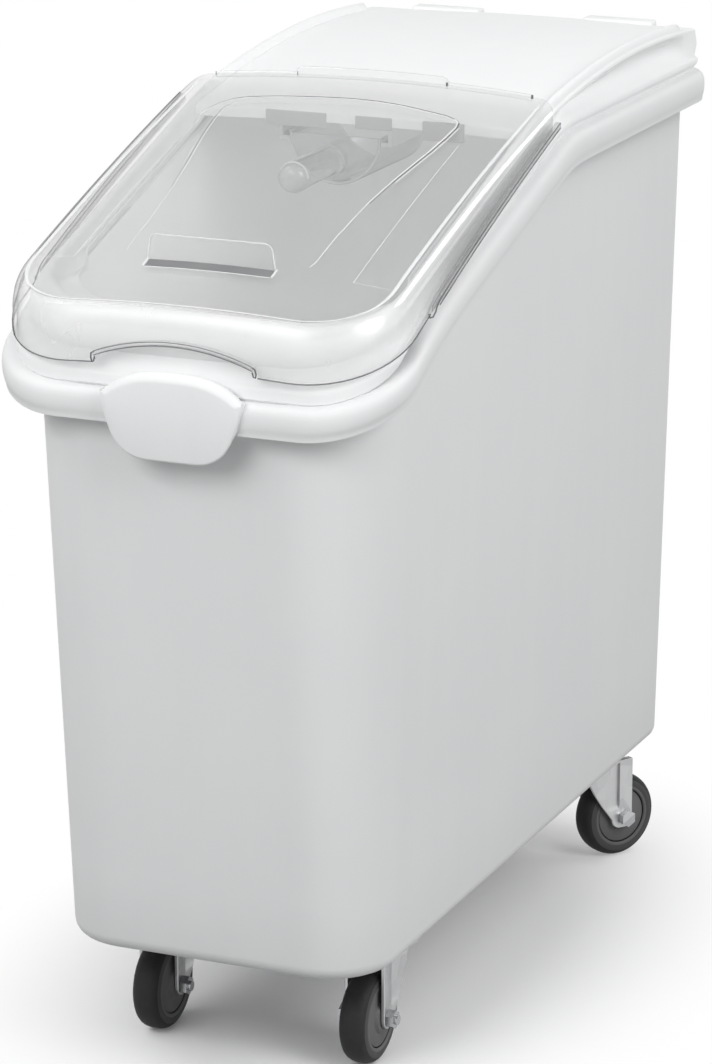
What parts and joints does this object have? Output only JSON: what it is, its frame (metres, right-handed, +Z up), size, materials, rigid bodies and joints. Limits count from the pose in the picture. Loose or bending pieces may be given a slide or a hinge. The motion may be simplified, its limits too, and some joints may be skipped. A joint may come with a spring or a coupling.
{
  "type": "rolling flour bin",
  "caption": "Tapered white flour bin on swivel casters, with a white hooded frame, a clear sloped lid that lifts at the front, a pull handle and a scoop under the hood.",
  "frame": {"origin": "on the floor, midway between the sides and midway between the front handle and the rear of the rim", "axes": "+X to the right as seen from the front, +Y to the back, +Z up"},
  "size_m": [0.33, 0.745, 0.7443],
  "materials": {
    "tub_plastic": "satin moulded polypropylene",
    "white_plastic": "smooth moulded polypropylene",
    "clear_plastic": "clear polycarbonate",
    "zinc_sheet": "zinc plated sheet",
    "steel": "plain steel",
    "brass": "turned",
    "hub_plastic": "moulded nylon",
    "tyre_rubber": "grey rubber"
  },
  "bodies": {
    "bin": {"tub": "tub_plastic", "lid_frame": "white_plastic", "front_handle": "white_plastic", "plate_bolts": "steel", "thread_inserts": "brass", "front_left_plate": "zinc_sheet", "front_left_kingpin": "steel", "front_left_balls": "steel", "front_right_plate": "zinc_sheet", "front_right_kingpin": "steel", "front_right_balls": "steel", "rear_left_plate": "zinc_sheet", "rear_left_kingpin": "steel", "rear_left_balls": "steel", "rear_right_plate": "zinc_sheet", "rear_right_kingpin": "steel", "rear_right_balls": "steel"},
    "lid": {"clear_lid": "clear_plastic"},
    "scoop": {"scoop": "clear_plastic"},
    "front_left_swivel": {"front_left_fork": "zinc_sheet", "front_left_axle_bolt": "steel", "front_left_axle_nut": "steel", "front_left_axle_sleeve": "steel"},
    "front_left_wheel": {"front_left_hub": "hub_plastic", "front_left_tyre": "tyre_rubber"},
    "front_right_swivel": {"front_right_fork": "zinc_sheet", "front_right_axle_bolt": "steel", "front_right_axle_nut": "steel", "front_right_axle_sleeve": "steel"},
    "front_right_wheel": {"front_right_hub": "hub_plastic", "front_right_tyre": "tyre_rubber"},
    "rear_left_swivel": {"rear_left_fork": "zinc_sheet", "rear_left_axle_bolt": "steel", "rear_left_axle_nut": "steel", "rear_left_axle_sleeve": "steel"},
    "rear_left_wheel": {"rear_left_hub": "hub_plastic", "rear_left_tyre": "tyre_rubber"},
    "rear_right_swivel": {"rear_right_fork": "zinc_sheet", "rear_right_axle_bolt": "steel", "rear_right_axle_nut": "steel", "rear_right_axle_sleeve": "steel"},
    "rear_right_wheel": {"rear_right_hub": "hub_plastic", "rear_right_tyre": "tyre_rubber"}
  },
  "joints": [
    {"name": "lid_tilt", "type": "hinge", "parent": "bin", "child": "lid", "pos_m": [0, 0.004, 0.72689], "axis": [-1, 0, 0], "range_deg": [0, 100]},
    {"name": "scoop_slide", "type": "slide", "parent": "bin", "child": "scoop", "axis": [0, -1, 0], "range_m": [0, 0.08]},
    {"name": "front_left_swivel_turn", "type": "hinge", "parent": "bin", "child": "front_left_swivel", "pos_m": [-0.089, -0.182, 0.095], "axis": [0, 0, 1], "continuous": true},
    {"name": "front_left_wheel_spin", "type": "hinge", "parent": "front_left_swivel", "child": "front_left_wheel", "pos_m": [-0.089, -0.212, 0.0375], "axis": [1, 0, 0], "continuous": true},
    {"name": "front_right_swivel_turn", "type": "hinge", "parent": "bin", "child": "front_right_swivel", "pos_m": [0.089, -0.182, 0.095], "axis": [0, 0, 1], "continuous": true},
    {"name": "front_right_wheel_spin", "type": "hinge", "parent": "front_right_swivel", "child": "front_right_wheel", "pos_m": [0.089, -0.212, 0.0375], "axis": [1, 0, 0], "continuous": true},
    {"name": "rear_left_swivel_turn", "type": "hinge", "parent": "bin", "child": "rear_left_swivel", "pos_m": [-0.089, 0.28, 0.095], "axis": [0, 0, 1], "continuous": true},
    {"name": "rear_left_wheel_spin", "type": "hinge", "parent": "rear_left_swivel", "child": "rear_left_wheel", "pos_m": [-0.09926, 0.30819, 0.0375], "axis": [-0.9397, -0.342, 0], "continuous": true},
    {"name": "rear_right_swivel_turn", "type": "hinge", "parent": "bin", "child": "rear_right_swivel", "pos_m": [0.089, 0.28, 0.095], "axis": [0, 0, 1], "continuous": true},
    {"name": "rear_right_wheel_spin", "type": "hinge", "parent": "rear_right_swivel", "child": "rear_right_wheel", "pos_m": [0.10534, 0.30516, 0.0375], "axis": [-0.8387, 0.5446, 0], "continuous": true}
  ]
}
